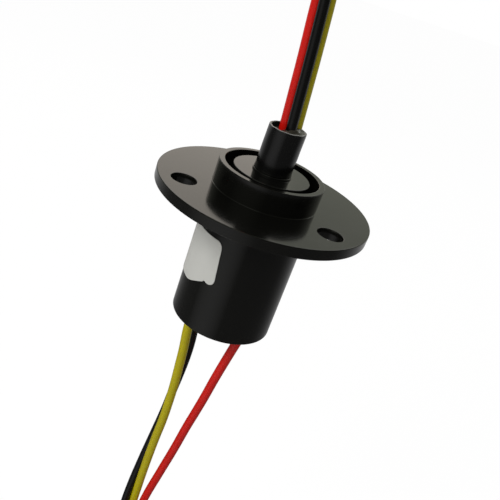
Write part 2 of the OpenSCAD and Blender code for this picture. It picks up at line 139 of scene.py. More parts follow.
# %% Set up the camera
RIGHT = Vector((0.9391, 0.2024, 0.2778))
UP = Vector((-0.3393, 0.4171, 0.8431))
BACK = Vector((0.0548, -0.8861, 0.4604))
camera = bpy.data.objects.new("camera", bpy.data.cameras.new("camera"))
bpy.context.scene.collection.objects.link(camera)
CAMERA_AT = Vector((0, -129.16, 49.41)) * MM
turn = Matrix((RIGHT, UP, BACK)).transposed()
camera.matrix_world = Matrix.Translation(CAMERA_AT) @ turn.to_4x4()
camera.data.sensor_width = 36
camera.data.lens = 48.76
camera.data.shift_x = 0.1005
camera.data.shift_y = 0.0252
camera.data.clip_start = 0.005
camera.data.clip_end = 20
bpy.context.scene.camera = camera
print("camera", round(camera.location.length / MM), "mm from the flange")

# %% [markdown]
# ## Routes of the six leads
#
# Each lead is 250 mm of PVC hook-up wire, 2.1 mm thick. The lower three hang from the end cap
# and meet in a folded hank. The upper three rise out of the neck, bend over and hang down
# behind the body to a hank of their own. The first stretch is a list of given points in
# millimetres, the same ones as in the engineering source.

# %% List the routes
LEAD_D = 2.1
LOWER = {
    "red": [(5.9, -4.4, -27.7), (5.3, -3.9, -31.6), (4.5, -3.1, -37.4), (3.7, -2.6, -43.4),
            (3, -2.2, -49.4), (2.3, -1.9, -54.5), (1.5, -1.6, -60), (0.5, -1.1, -68.2),
            (-0.9, -0.6, -78), (-2.3, -0.2, -88), (-2.8, 0, -94), (-2.9, 0, -99.5)],
    "black": [(-5.8, 4.4, -27.7), (-5.3, 4.2, -32.4), (-4.5, 3.8, -38.3), (-4.25, 3.3, -43.6),
              (-4.4, 2.9, -49.4), (-4.7, 2.6, -54.8), (-5, 2.2, -61), (-5.6, 1.7, -68.4),
              (-6.4, 1, -78), (-7, 0.2, -88), (-7.1, 0, -94), (-7.1, 0, -99.5)],
    "yellow": [(-5.9, -4.4, -27.7), (-5.7, -3.9, -32.4), (-5.2, -3.1, -38.3), (-4.9, -2.6, -43.6),
               (-4.6, -2.2, -49.4), (-4.5, -1.9, -54.6), (-4.5, -1.6, -60), (-4.8, -1.2, -67.8),
               (-5, -0.8, -78), (-5, -0.2, -88), (-5, 0, -94), (-5, 0, -99.5)],
}
UPPER = {
    "red": [(-0.6, 0.6, 14.9), (-1.2, 0.6, 22), (-1.9, 0.6, 30), (-2.7, 0.6, 38), (-3, 0.6, 42),
            (-3.1, 2.2, 48.1), (-3.2, 6.7, 52.5), (-3.3, 12.8, 54.2), (-3.4, 18.8, 52.5),
            (-3.5, 23.3, 48.1), (-3.5, 24.9, 42), (-2.8, 24.9, 34), (-1.8, 24.9, 24),
            (-0.9, 24.9, 13), (-1.7, 25.1, 7.5), (-2.1, 25.4, 2), (-2.1, 25.5, -4)],
    "black": [(0.8, -1.2, 14.9), (0.2, -1.2, 22), (-0.5, -1.2, 30), (-1.3, -1.2, 38),
              (-1.7, -1.2, 42), (-1.8, 0.7, 49), (-1.9, 5.8, 54.1), (-2, 12.8, 56),
              (-2.2, 19.7, 54.1), (-2.3, 24.8, 49), (-2.4, 26.7, 42), (-1.7, 26.7, 34),
              (-0.7, 26.7, 24), (0.2, 26.7, 13), (0.1, 26.2, 7.5), (0, 25.7, 2), (0, 25.5, -4)],
    "yellow": [(1.7, 0.7, 14.9), (1.1, 0.7, 22), (0.4, 0.7, 30), (-0.4, 0.7, 38), (-0.8, 0.7, 42),
               (-0.9, 2.3, 48), (-1, 6.7, 52.4), (-1.1, 12.8, 54), (-1.1, 18.8, 52.4),
               (-1.2, 23.2, 48), (-1.2, 24.8, 42), (-0.5, 24.8, 34), (0.4, 24.8, 24),
               (1.3, 24.8, 13), (1.9, 25.1, 7.5), (2.1, 25.4, 2), (2.1, 25.5, -4)],
}
print("points in the hand-chosen stretches:", sum(map(len, [*LOWER.values(), *UPPER.values()])))

# %% [markdown]
# ## Folding the hanks
#
# A hank is a lead laid back and forth in straight runs with a round fold at each end. A rule
# can make it, so a loop does: each fold is given by its middle, its radius and the way it
# opens, and half a turn of points is laid round it. Straight runs need a point here and there
# only to keep the smooth curve straight.

# %% Lay the folds
def fold(x, middle_y, middle_z, radius, start_side, low):
    """Half a turn in the YZ plane: start_side is -1 or 1 along Y, and low turns it downwards."""
    points = []
    for step in range(9):
        a = math.pi * step / 8
        y = middle_y + start_side * radius * math.cos(a)
        z = middle_z + (-1 if low else 1) * radius * math.sin(a)
        points.append((x, y, z))
    return points


def run(x, y, z_from, z_to, count):
    """Points along a straight run, without its two ends."""
    return [(x, y, z_from + (z_to - z_from) * k / (count + 1)) for k in range(1, count + 1)]


def lower_hank(x):
    return (run(x, 0, -99.5, -132, 2) + fold(x, -8.4, -132, 8.4, 1, True)
            + run(x, -16.8, -132, -104, 2) + fold(x, -9.45, -104, 7.35, -1, False)
            + run(x, -2.1, -104, -132, 2) + fold(x, -8.4, -132, 6.3, 1, True)
            + [(x, -14.7, -125), (x, -14.7, -118.5)])


def upper_hank(x):
    return (run(x, 25.5, -4, -40.5, 3) + fold(x, 32.85, -40.5, 7.35, -1, True)
            + run(x, 40.2, -40.5, -8.5, 2) + fold(x, 33.9, -8.5, 6.3, 1, False)
            + [(x, 27.6, -16), (x, 27.6, -23), (x, 27.6, -29.5)])


def lead_curve(name, points):
    """One smooth round curve through the points."""
    curve = bpy.data.curves.new(name, "CURVE")
    curve.dimensions = "3D"
    curve.resolution_u = 6
    curve.bevel_depth = LEAD_D / 2 * MM
    curve.bevel_resolution = 6
    curve.use_fill_caps = True
    spline = curve.splines.new("BEZIER")
    spline.bezier_points.add(len(points) - 1)
    for place, p in zip(spline.bezier_points, points):
        place.co = Vector(p) * MM
        place.handle_left_type = place.handle_right_type = "AUTO"
    piece = bpy.data.objects.new(name, curve)
    bpy.context.scene.collection.objects.link(piece)
    return piece


LOWER_X = {"red": -2.9, "black": -7.1, "yellow": -5}
UPPER_X = {"red": -2.1, "black": 0, "yellow": 2.1}
leads = {}
for colour in ("red", "black", "yellow"):
    low_route = LOWER[colour] + lower_hank(LOWER_X[colour])
    top_route = UPPER[colour] + upper_hank(UPPER_X[colour])
    leads["low_" + colour] = lead_curve("lead_low_" + colour, low_route)
    leads["top_" + colour] = lead_curve("lead_top_" + colour, top_route)
print("leads:", sorted(leads))

# %% [markdown]
# ## Moulded black plastic
#
# The housing, the end cap and the rotor are injection moulded from black engineering plastic,
# such as PBT. It could be one flat black, but a moulded face is never that even: it has a fine
# orange peel from the steel of the mould, and its gloss changes a little where the melt flowed
# and where hands have been. So one function makes the finish, with a grain and a slow change of
# gloss, and each piece gets its own grade of it.

# %% Make the moulded plastics
def moulded_plastic(name, colour, gloss_low, gloss_high, peel_mm, peel_um, shine=0.5):
    """Injection-moulded plastic: roughness between two values, and an orange peel of that size."""
    finish = bpy.data.materials.new(name)
    finish.use_nodes = True
    tree = finish.node_tree
    skin = tree.nodes["Principled BSDF"]
    skin.inputs["Base Color"].default_value = linear(colour)
    skin.inputs["IOR"].default_value = 1.5
    skin.inputs["Specular IOR Level"].default_value = shine
    place = add(tree, "ShaderNodeTexCoord")
    flow = add(tree, "ShaderNodeTexNoise", {"Scale": 1 / (6 * MM), "Detail": 3.0, "Roughness": 0.55},
               {"Vector": place.outputs["Object"]})
    gloss = add(tree, "ShaderNodeMapRange", {"From Min": 0.35, "From Max": 0.65, "To Min": gloss_low,
                "To Max": gloss_high}, {"Value": flow.outputs["Fac"]})
    peel = add(tree, "ShaderNodeTexNoise", {"Scale": 1 / (peel_mm * MM), "Detail": 2.0},
               {"Vector": place.outputs["Object"]})
    relief = add(tree, "ShaderNodeBump", {"Strength": 1.0, "Distance": peel_um * MM / 1000},
                 {"Height": peel.outputs["Fac"]})
    tree.links.new(gloss.outputs["Result"], skin.inputs["Roughness"])
    tree.links.new(relief.outputs["Normal"], skin.inputs["Normal"])
    return finish


# PBT is dense and hard, so it keeps the polish of the mould: dark, with a clear soft shine.
housing_pbt = moulded_plastic("housing_pbt_moulded", "#0b0b09", 0.10, 0.14, 1.6, 0.6)
cap_pbt = moulded_plastic("cap_pbt_moulded", "#0c0c0b", 0.22, 0.30, 1.2, 1.5)
rotor_pbt = moulded_plastic("rotor_pbt_moulded", "#0b0b0a", 0.10, 0.14, 1.4, 0.6)
# Natural nylon is creamy, and its moulded face is dull.
spacer_nylon = moulded_plastic("spacer_nylon_moulded", "#d9d2bc", 0.40, 0.50, 0.3, 3)
# Weather-proof cable ties are nylon with carbon black, satin from the mould.
tie_nylon = moulded_plastic("tie_nylon_moulded", "#17171a", 0.30, 0.42, 0.4, 6)
print("plastics: 5")

# %% [markdown]
# ## Soft plastics: lead insulation and shrink sleeve
#
# PVC insulation is extruded, so it is smooth and slightly waxy. Heat-shrink sleeve is polyolefin,
# shrunk tight and quite shiny, with a fine grain. Both are coloured right through, so the colour
# hardly changes, and most of what the eye sees is how broad their highlights are.

# %% Make the insulation and the sleeve
def soft_plastic(name, colour, shade, gloss_low, gloss_high, grain_mm, grain_um, shine=0.5):
    """A soft extruded plastic whose colour drifts between two near shades."""
    finish = bpy.data.materials.new(name)
    finish.use_nodes = True
    tree = finish.node_tree
    skin = tree.nodes["Principled BSDF"]
    skin.inputs["IOR"].default_value = 1.52
    skin.inputs["Specular IOR Level"].default_value = shine
    place = add(tree, "ShaderNodeTexCoord")
    drift = add(tree, "ShaderNodeTexNoise", {"Scale": 1 / (4 * MM), "Detail": 4.0},
                {"Vector": place.outputs["Object"]})
    mix = add(tree, "ShaderNodeMix", {6: linear(colour), 7: linear(shade)}, {0: drift.outputs["Fac"]},
              data_type="RGBA")
    tree.links.new(mix.outputs[2], skin.inputs["Base Color"])
    gloss = add(tree, "ShaderNodeMapRange", {"From Min": 0.35, "From Max": 0.65, "To Min": gloss_low,
                "To Max": gloss_high}, {"Value": drift.outputs["Fac"]})
    grain = add(tree, "ShaderNodeTexNoise", {"Scale": 1 / (grain_mm * MM), "Detail": 2.0},
                {"Vector": place.outputs["Object"]})
    relief = add(tree, "ShaderNodeBump", {"Strength": 1.0, "Distance": grain_um * MM / 1000},
                 {"Height": grain.outputs["Fac"]})
    tree.links.new(gloss.outputs["Result"], skin.inputs["Roughness"])
    tree.links.new(relief.outputs["Normal"], skin.inputs["Normal"])
    return finish


insulation = {
    "red": soft_plastic("pvc_red_extruded", "#cc1208", "#b91007", 0.30, 0.38, 0.8, 1, 0.3),
    "black": soft_plastic("pvc_black_extruded", "#060606", "#0b0b0a", 0.24, 0.32, 0.8, 1, 0.4),
    "yellow": soft_plastic("pvc_yellow_extruded", "#b2a600", "#a29600", 0.30, 0.38, 0.8, 1, 0.3),
}
sleeve_polyolefin = soft_plastic("sleeve_polyolefin_shrunk", "#080808", "#0b0b0a", 0.14, 0.20, 0.5, 0.6)
# The top face of the cut rim is painted pale grey: it is a painted highlight along the rim, and it also
# stands for epoxy smeared on the rim.
sleeve_rim_highlight_and_glue = soft_plastic("sleeve_rim_painted_highlight_and_glue", "#8d8e8a", "#6c6a66", 0.50, 0.60, 0.2, 8)
# Potting epoxy cures with a glassy skin over a greyish, slightly cloudy body.
potting_epoxy = soft_plastic("epoxy_cured", "#1d1b17", "#3a362d", 0.16, 0.26, 0.8, 12)
print("soft plastics: 6")

# %% [markdown]
# ## Metals
#
# The bearings are ground steel, their balls are polished, the cages are pressed brass, and the
# contact rings and brushes are plated with hard gold. Turned metal shows fine rings where the
# tool went round. Those are drawn as a slow ripple along the shaft, coarser than the real
# 0.05 mm so that they show at all.

# %% Make the metals
# At scale 1 the light and the dark bands of a wave texture are each this wide.
WAVE_BAND = 0.157


def metal(name, colour, gloss_low, gloss_high, turned_mm=0.0):
    """A bare metal with uneven gloss and, where turned_mm is given, tool rings that wide."""
    finish = bpy.data.materials.new(name)
    finish.use_nodes = True
    tree = finish.node_tree
    skin = tree.nodes["Principled BSDF"]
    skin.inputs["Base Color"].default_value = linear(colour)
    skin.inputs["Metallic"].default_value = 1.0
    place = add(tree, "ShaderNodeTexCoord")
    uneven = add(tree, "ShaderNodeTexNoise", {"Scale": 1 / (0.8 * MM), "Detail": 4.0},
                 {"Vector": place.outputs["Object"]})
    gloss = add(tree, "ShaderNodeMapRange", {"From Min": 0.3, "From Max": 0.7, "To Min": gloss_low,
                "To Max": gloss_high}, {"Value": uneven.outputs["Fac"]})
    tree.links.new(gloss.outputs["Result"], skin.inputs["Roughness"])
    height = uneven.outputs["Fac"]
    if turned_mm:
        rings = {"Scale": WAVE_BAND / (turned_mm * MM), "Distortion": 0.4}
        tool = add(tree, "ShaderNodeTexWave", rings, {"Vector": place.outputs["Object"]},
                   bands_direction="Z")
        height = tool.outputs["Fac"]
    relief = add(tree, "ShaderNodeBump", {"Strength": 1.0, "Distance": 0.002 * MM}, {"Height": height})
    tree.links.new(relief.outputs["Normal"], skin.inputs["Normal"])
    return finish


bearing_steel = metal("bearing_steel_ground", "#b9bbbd", 0.16, 0.28, 0.15)
ball_steel = metal("ball_steel_polished", "#cdd0d2", 0.05, 0.10)
cage_brass = metal("cage_brass_pressed", "#c2a35c", 0.22, 0.34)
ring_gold = metal("ring_gold_plated_turned", "#d9b35a", 0.14, 0.24, 0.12)
brush_gold = metal("brush_gold_plated_drawn", "#dcb65e", 0.12, 0.22)
clip_steel = metal("clip_steel_blued_stamped", "#6f757c", 0.28, 0.40)
tinned_copper = metal("copper_tinned_drawn", "#c4c2bd", 0.24, 0.38)
print("metals: 7")

# %% [markdown]
# ## The brush boards and the label
#
# The boards are glass-epoxy laminate under green solder mask, with the weave of the glass cloth
# just telling through it. The label is a matt grey film with a slightly pebbled surface, and
# it is blank.

# %% Make the laminate and the film
laminate = bpy.data.materials.new("laminate_solder_masked")
laminate.use_nodes = True
tree = laminate.node_tree
skin = tree.nodes["Principled BSDF"]
place = add(tree, "ShaderNodeTexCoord")
CLOTH_MM = 0.5
threads = {"Scale": WAVE_BAND / (CLOTH_MM * MM)}
warp = add(tree, "ShaderNodeTexWave", threads, {"Vector": place.outputs["Object"]}, bands_direction="X")
weft = add(tree, "ShaderNodeTexWave", threads, {"Vector": place.outputs["Object"]}, bands_direction="Z")
weave = add(tree, "ShaderNodeMath", None, {0: warp.outputs["Fac"], 1: weft.outputs["Fac"]},
            operation="MULTIPLY")
mask = add(tree, "ShaderNodeMix", {6: linear("#1d5a34"), 7: linear("#26693e")},
           {0: weave.outputs["Value"]}, data_type="RGBA")
relief = add(tree, "ShaderNodeBump", {"Strength": 0.6, "Distance": 0.004 * MM},
             {"Height": weave.outputs["Value"]})
tree.links.new(mask.outputs[2], skin.inputs["Base Color"])
tree.links.new(relief.outputs["Normal"], skin.inputs["Normal"])
skin.inputs["Roughness"].default_value = 0.32

label_film = bpy.data.materials.new("label_film_cast")
label_film.use_nodes = True
tree = label_film.node_tree
skin = tree.nodes["Principled BSDF"]
place = add(tree, "ShaderNodeTexCoord")
pebble = add(tree, "ShaderNodeTexNoise", {"Scale": 1 / (0.3 * MM), "Detail": 3.0},
             {"Vector": place.outputs["Object"]})
shade = add(tree, "ShaderNodeTexNoise", {"Scale": 1 / (5 * MM), "Detail": 2.0},
            {"Vector": place.outputs["Object"]})
tone = add(tree, "ShaderNodeMix", {6: linear("#b6b6b1"), 7: linear("#bfbfba")},
           {0: shade.outputs["Fac"]}, data_type="RGBA")
relief = add(tree, "ShaderNodeBump", {"Strength": 0.7, "Distance": 0.006 * MM},
             {"Height": pebble.outputs["Fac"]})
tree.links.new(tone.outputs[2], skin.inputs["Base Color"])
tree.links.new(relief.outputs["Normal"], skin.inputs["Normal"])
skin.inputs["Roughness"].default_value = 0.55
print("boards and label done")

# %% [markdown]
# ## Turning a profile
#
# The housing, the sleeve and the rotor are round, so each is a profile turned about the shaft,
# as on a lathe. Blender's Screw modifier could do it; here a short function lays the rings of
# points itself, which makes it easy to put an extra ring beside every rounded edge. Those
# rings keep the flat faces flat, so that their reflections don't bend.

# %% A lathe, and rounded corners for its profiles
def rounded(corners, tight=0.03):
    """Turns (radius, height, rounding) corners in mm into the points of a profile."""
    points = []
    count = len(corners)
    for i, (r, z, bend) in enumerate(corners):
        here = Vector((r, z))
        if bend == 0:
            points.append(here)
            continue
        before = (Vector(corners[i - 1][:2]) - here).normalized()
        after = (Vector(corners[(i + 1) % count][:2]) - here).normalized()
        half = before.angle(after) / 2
        reach = bend / math.tan(half)
        middle = here + (before + after).normalized() * bend / math.sin(half)
        start, stop = here + before * reach, here + after * reach
        points.append(here + before * (reach + tight))
        a0 = math.atan2(*(start - middle).yx)
        a1 = math.atan2(*(stop - middle).yx)
        swing = (a1 - a0 + math.pi) % (2 * math.pi) - math.pi
        for k in range(7):
            a = a0 + swing * k / 6
            points.append(middle + bend * Vector((math.cos(a), math.sin(a))))
        points.append(here + after * (reach + tight))
    return points


def lathe(name, profile, rings=192, closed=True):
    """A mesh made by turning a profile of (radius, height) points in mm about the shaft."""
    shell = bmesh.new()
    rows = []
    for r, z in profile:
        if r < 1e-6:
            rows.append([shell.verts.new((0, 0, z * MM))])
            continue
        turns = [2 * math.pi * k / rings for k in range(rings)]
        rows.append([shell.verts.new((r * MM * math.cos(a), r * MM * math.sin(a), z * MM)) for a in turns])
    pairs = list(zip(rows, rows[1:])) + ([(rows[-1], rows[0])] if closed else [])
    for low, high in pairs:
        for k in range(rings):
            n = (k + 1) % rings
            corners = [low[k % len(low)], low[n % len(low)], high[n % len(high)], high[k % len(high)]]
            once = [v for i, v in enumerate(corners) if v not in corners[:i]]
            if len(once) > 2:
                shell.faces.new(once)
    bmesh.ops.recalc_face_normals(shell, faces=shell.faces)
    mesh = bpy.data.meshes.new(name)
    shell.to_mesh(mesh)
    shell.free()
    mesh.shade_smooth()
    mesh.set_sharp_from_angle(angle=math.radians(35))
    return mesh


def baked(thing):
    """The plain mesh that an object's modifiers make, with the object itself removed."""
    seen = thing.evaluated_get(bpy.context.evaluated_depsgraph_get())
    mesh = bpy.data.meshes.new_from_object(seen)
    bpy.data.objects.remove(thing)
    return mesh


print("a quarter turn of rounding has", len(rounded([(0, 0, 0), (1, 0, 0.2), (1, 1, 0)])), "points")

# %% [markdown]
# ## The housing
#
# Body, flange and collar are one moulding. Its profile runs up the outside, over the collar's
# rim, down into the recess and the bearing seat, and back down the bore. A mould can't make a
# knife edge, so each corner has a small rounding: 0.4 mm at the body's end, 0.2 mm round the
# flange, less on the collar's rim, and a small fillet at the collar's foot.

# %% Turn the housing's profile
lo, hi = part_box("housing")
BODY_R, FLANGE_R, COLLAR_R = 11.0, hi.x / MM, 10.95
RIM_Z, FOOT_Z, FLANGE_Z = hi.z / MM, lo.z / MM, 2.2
RECESS_R, RECESS_Z, SEAT_R, SEAT_Z, LIP_R, LIP_Z, BORE_R = 9.75, 3.0, 7.02, 0.45, 6.2, -0.75, 9.5
housing_profile = rounded([
    (BORE_R, FOOT_Z, 0.12), (BODY_R, FOOT_Z, 0.4), (BODY_R, 0, 0.15), (FLANGE_R, 0, 0.2),
    (FLANGE_R, FLANGE_Z, 0.2), (COLLAR_R, FLANGE_Z, 0.12), (COLLAR_R, RIM_Z, 0.12),
    (RECESS_R, RIM_Z, 0.14), (RECESS_R, RECESS_Z, 0.2), (SEAT_R, RECESS_Z, 0.1), (SEAT_R, SEAT_Z, 0.05),
    (LIP_R, SEAT_Z, 0.08), (LIP_R, LIP_Z, 0.08), (BORE_R, LIP_Z, 0.3)])
housing_mesh = lathe("housing_moulding", housing_profile)
print("housing:", len(housing_mesh.polygons), "faces")

# %% [markdown]
# ## Screw holes in a ring
#
# Three equal holes stand on a circle, so they are a pattern, and Geometry Nodes make patterns.
# The tree below takes one cutter, stands it on the points of a circle, and turns the instances
# into real mesh. The cutter is a pin that flares at both faces of the flange, because moulded
# holes have a slightly rounded mouth.

# %% Build the ring of cutters
def ring_pattern(name):
    """A tree that repeats a mesh on a circle."""
    tree, given = new_tree(name, "Ring", One="Geometry", Count="Int", Radius="Float", Turn="Float",
                           Finish="Material")
    circle = add(tree, "GeometryNodeMeshCircle", None,
                 {"Vertices": given["Count"], "Radius": given["Radius"]})
    spin = add(tree, "ShaderNodeCombineXYZ", None, {"Z": given["Turn"]})
    turned = add(tree, "GeometryNodeTransform", None,
                 {"Geometry": circle.outputs["Mesh"], "Rotation": spin.outputs["Vector"]})
    copies = add(tree, "GeometryNodeInstanceOnPoints", None,
                 {"Points": turned.outputs["Geometry"], "Instance": given["One"]})
    return finish_tree(tree, "Ring", copies.outputs["Instances"], given["Finish"])


def with_nodes(name, mesh, tree, **values):
    """Runs a tree on a mesh with its named inputs set, and returns the plain mesh it makes."""
    thing = bpy.data.objects.new(name, mesh)
    bpy.context.scene.collection.objects.link(thing)
    step = thing.modifiers.new(tree.name, "NODES")
    step.node_group = tree
    known = {s.name: s.identifier for s in tree.interface.items_tree if s.in_out == "INPUT"}
    for label, value in values.items():
        step[known[label]] = value
    return baked(thing)


HOLE_R, HOLE_RING_R, HOLE_TURN = 2.6, 17.2, math.radians(86)
MOUTH, PAST = 0.16, 0.6
half_pin = [(HOLE_R + MOUTH + 0.1, -PAST), (HOLE_R + MOUTH, 0), (HOLE_R + 0.05, 0.06), (HOLE_R, MOUTH)]
other_half = [(r, FLANGE_Z - z) for r, z in reversed(half_pin)]
pin = lathe("hole_pin", [(0, -PAST)] + half_pin + other_half + [(0, FLANGE_Z + PAST)], rings=72, closed=False)
cutters = with_nodes("hole_cutters", pin, ring_pattern("ring_of_holes"), Count=3,
                     Radius=HOLE_RING_R * MM, Turn=HOLE_TURN, Finish=housing_pbt)
print("cutters:", len(cutters.polygons), "faces")

# %% Cut the holes and finish the housing
cutter = bpy.data.objects.new("cutter", cutters)
blank = bpy.data.objects.new("housing_blank", housing_mesh)
housing_mesh.materials.append(housing_pbt)
for thing in (cutter, blank):
    bpy.context.scene.collection.objects.link(thing)
cut = blank.modifiers.new("holes", "BOOLEAN")
cut.operation, cut.solver, cut.object = "DIFFERENCE", "EXACT", cutter
housing_mesh = baked(blank)
bpy.data.objects.remove(cutter)
housing_mesh.name = "housing_moulding"
housing_mesh.set_sharp_from_angle(angle=math.radians(35))
housing = new_piece("housing_moulding", housing_mesh, "stator", housing_pbt, "housing_plastic", "housing")
even = housing.modifiers.new("even_shading", "WEIGHTED_NORMAL")
even.keep_sharp = True
print("housing with holes:", len(housing_mesh.polygons), "faces, materials", len(housing_mesh.materials))

# %% [markdown]
# ## The label
#
# The label is a strip of grey film stuck round the left of the body. Its corners are rounded,
# and its lower edge waves a little where it was rubbed down by hand. A flat sheet could be
# bent by a modifier, but here each point is placed on the body by its angle and height, so the
# film, which is 0.12 mm thick, follows the body exactly.

# %% Lay the label on the body
def eased(value, start, stop):
    """0 before start, 1 after stop, and a smooth rise between them."""
    part = min(max((value - start) / (stop - start), 0.0), 1.0)
    return part * part * (3 - 2 * part)


LABEL_FROM, LABEL_TO = math.radians(173), math.radians(250.5)
LABEL_TOP, LABEL_LOW, CORNER, FILM = -6.7, -18.85, 1.4, 0.12
film_r = BODY_R + 0.02 + FILM
span = LABEL_TO - LABEL_FROM
# The label was stuck on a little askew: its right side slants by this angle for each mm of height.
SLANT, SLANT_MIDDLE = math.radians(0.55), LABEL_TOP - 5
SLOPE, RISE, KINK = 0.3, 2.15, 0.35
columns, rows = 96, 48
sheet = bmesh.new()
grid = []
for i in range(columns + 1):
    across = i / columns
    side = min(across, 1 - across) * span * film_r
    bite = CORNER - math.sqrt(max(CORNER ** 2 - max(CORNER - side, 0) ** 2, 0))
    kink = KINK * math.exp(-((across - 0.85) / 0.025) ** 2)
    wave = SLOPE * across + RISE * eased(across, 0.5, 0.9) + kink
    top, low = LABEL_TOP - bite, LABEL_LOW + wave + bite
    column = []
    for j in range(rows + 1):
        z = low + (top - low) * j / rows
        angle = LABEL_FROM + span * across + SLANT * across * (SLANT_MIDDLE - z)
        column.append(sheet.verts.new((film_r * math.cos(angle) * MM, film_r * math.sin(angle) * MM, z * MM)))
    grid.append(column)
for a, b in zip(grid, grid[1:]):
    for j in range(rows):
        sheet.faces.new([a[j], b[j], b[j + 1], a[j + 1]])
bmesh.ops.recalc_face_normals(sheet, faces=sheet.faces)
if sheet.faces[0].normal.dot(sheet.faces[0].calc_center_median()) < 0:
    bmesh.ops.reverse_faces(sheet, faces=sheet.faces)
label_mesh = bpy.data.meshes.new("label_film")
sheet.to_mesh(label_mesh)
sheet.free()
label_mesh.shade_smooth()
label = bpy.data.objects.new("label_blank", label_mesh)
bpy.context.scene.collection.objects.link(label)
thick = label.modifiers.new("film", "SOLIDIFY")
thick.thickness, thick.offset = FILM * MM, -1
soft = label.modifiers.new("edge", "BEVEL")
soft.width, soft.segments, soft.limit_method = 0.03 * MM, 2, "ANGLE"
label_mesh = baked(label)
label_mesh.set_sharp_from_angle(angle=math.radians(40))
new_piece("label_sticker", label_mesh, "stator", label_film, "label_film", "label")
print("label:", len(label_mesh.polygons), "faces")

# %% [markdown]
# ## The shrink sleeve
#
# The sleeve is a short length of tube, shrunk with hot air onto the rotor's neck. It is never
# quite straight or round: it leans by about half a degree, its lower end swells a little, its cut
# rim is uneven, and its wall shows faint dents. It starts as a turned tube, and each point is
# then moved a little.

# %% Turn and dent the sleeve
from mathutils import noise

low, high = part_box("shrink_sleeve")
SLEEVE_LOW, SLEEVE_TOP = low.z / MM, high.z / MM
SLEEVE_R, SLEEVE_IN = 3.81, 3.3
SWELL, TAPER, DENT, RAGGED = 0.05, 0.03, 0.05, 0.14
LEAN = math.radians(0.6)
wall_heights = [SLEEVE_LOW + 0.12 + (SLEEVE_TOP - SLEEVE_LOW - 0.3) * k / 48 for k in range(49)]
outside = [(SLEEVE_R - 0.08, SLEEVE_LOW)]
for z in wall_heights:
    swell = SWELL * math.exp(-((z - SLEEVE_LOW) / 0.6) ** 2)
    outside.append((SLEEVE_R + swell - TAPER * (z - SLEEVE_LOW) / 9, z))
rim = [(SLEEVE_R - 0.06, SLEEVE_TOP - 0.06), (SLEEVE_R - 0.16, SLEEVE_TOP), (SLEEVE_IN + 0.1, SLEEVE_TOP),
       (SLEEVE_IN, SLEEVE_TOP - 0.1)]
inside = [(SLEEVE_IN, z) for z in (SLEEVE_TOP - 0.5, SLEEVE_TOP - 2, SLEEVE_LOW + 2, SLEEVE_LOW)]
sleeve_mesh = lathe("sleeve_shrunk", outside + rim + inside, rings=144)
for v in sleeve_mesh.vertices:
    x, y, z = v.co / MM
    high = (z - SLEEVE_LOW) / (SLEEVE_TOP - SLEEVE_LOW)
    around = Vector((x, y, 0)).normalized()
    dent = DENT * noise.noise(Vector((x * 0.5, y * 0.5, z * 0.35)))
    cut = RAGGED * high ** 6 * noise.noise(Vector((around.x * 2.2, around.y * 2.2, 4.0)))
    sway = math.tan(LEAN) * (z - SLEEVE_LOW)
    v.co = Vector((x + around.x * dent + sway, y + around.y * dent, z + cut)) * MM
sleeve_mesh.update()
sleeve_mesh.materials.append(sleeve_polyolefin)
sleeve_mesh.materials.append(sleeve_rim_highlight_and_glue)
# Faces on top of the rim take the pale finish: a painted highlight along the rim, which also stands for
# smeared epoxy.
for face in sleeve_mesh.polygons:
    face.material_index = int(face.center.z > (SLEEVE_TOP - 0.3) * MM and face.normal.z > 0.8)
new_piece("sleeve_shrunk", sleeve_mesh, "rotor", None, "sleeve_polyolefin", "shrink_sleeve")
print("sleeve:", len(sleeve_mesh.polygons), "faces")

# %% [markdown]
# ## The sealant
#
# The mouth of the sleeve is closed with epoxy, poured in as a liquid. A liquid climbs whatever
# it touches, so the surface rises at the wall and round each lead, and it stands highest on
# one side because the part was not quite upright when it cured. A disc of rings and spokes is
# lifted by those rules.

# %% Pour the sealant
glue_low, glue_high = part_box("sealant")
feet = [Vector(UPPER[c][0][:2]) for c in UPPER]
GLUE_R = SLEEVE_IN - 0.02
HEAP, CLIMB, LUMP = 1.6, 0.14, 0.14
glue = bmesh.new()
spokes, steps = 96, 34


def glue_height(x, y):
    """How high the cured surface stands above its lowest level, in mm."""
    reach = math.hypot(x, y) / GLUE_R
    heap = HEAP * eased(x, -1.6, 1.1) * (1 - 0.5 * reach ** 3)
    climb = sum(math.exp(-max(math.dist((x, y), foot) - LEAD_D / 2, 0) / 0.25) for foot in feet)
    lumps = noise.noise(Vector((x * 1.6, y * 1.6, 2.0)))
    return 0.3 + heap + CLIMB * min(climb, 1.4) + LUMP * lumps


base = glue_high.z / MM - 0.06
centre = glue.verts.new((0, 0, (base + glue_height(0, 0)) * MM))
previous = None
for s in range(1, steps + 1):
    r = GLUE_R * s / steps
    ring = []
    for k in range(spokes):
        a = 2 * math.pi * k / spokes
        x, y = r * math.cos(a), r * math.sin(a)
        ring.append(glue.verts.new((x * MM, y * MM, (base + glue_height(x, y)) * MM)))
    for k in range(spokes):
        n = (k + 1) % spokes
        inner = [centre] if previous is None else [previous[n], previous[k]]
        glue.faces.new(inner + [ring[k], ring[n]])
    previous = ring
under = [glue.verts.new((v.co.x, v.co.y, glue_low.z)) for v in previous]
for k in range(spokes):
    n = (k + 1) % spokes
    glue.faces.new([previous[k], under[k], under[n], previous[n]])
glue.faces.new(under[::-1])
bmesh.ops.recalc_face_normals(glue, faces=glue.faces)
glue_mesh = bpy.data.meshes.new("sealant_cured")
glue.to_mesh(glue_mesh)
glue.free()
for v in glue_mesh.vertices:
    v.co.x += math.tan(LEAN) * (v.co.z - SLEEVE_LOW * MM)
glue_mesh.shade_smooth()
glue_mesh.set_sharp_from_angle(angle=math.radians(60))
new_piece("sealant_cured", glue_mesh, "rotor", potting_epoxy, "sealant_epoxy", "sealant")
print("sealant:", len(glue_mesh.polygons), "faces")

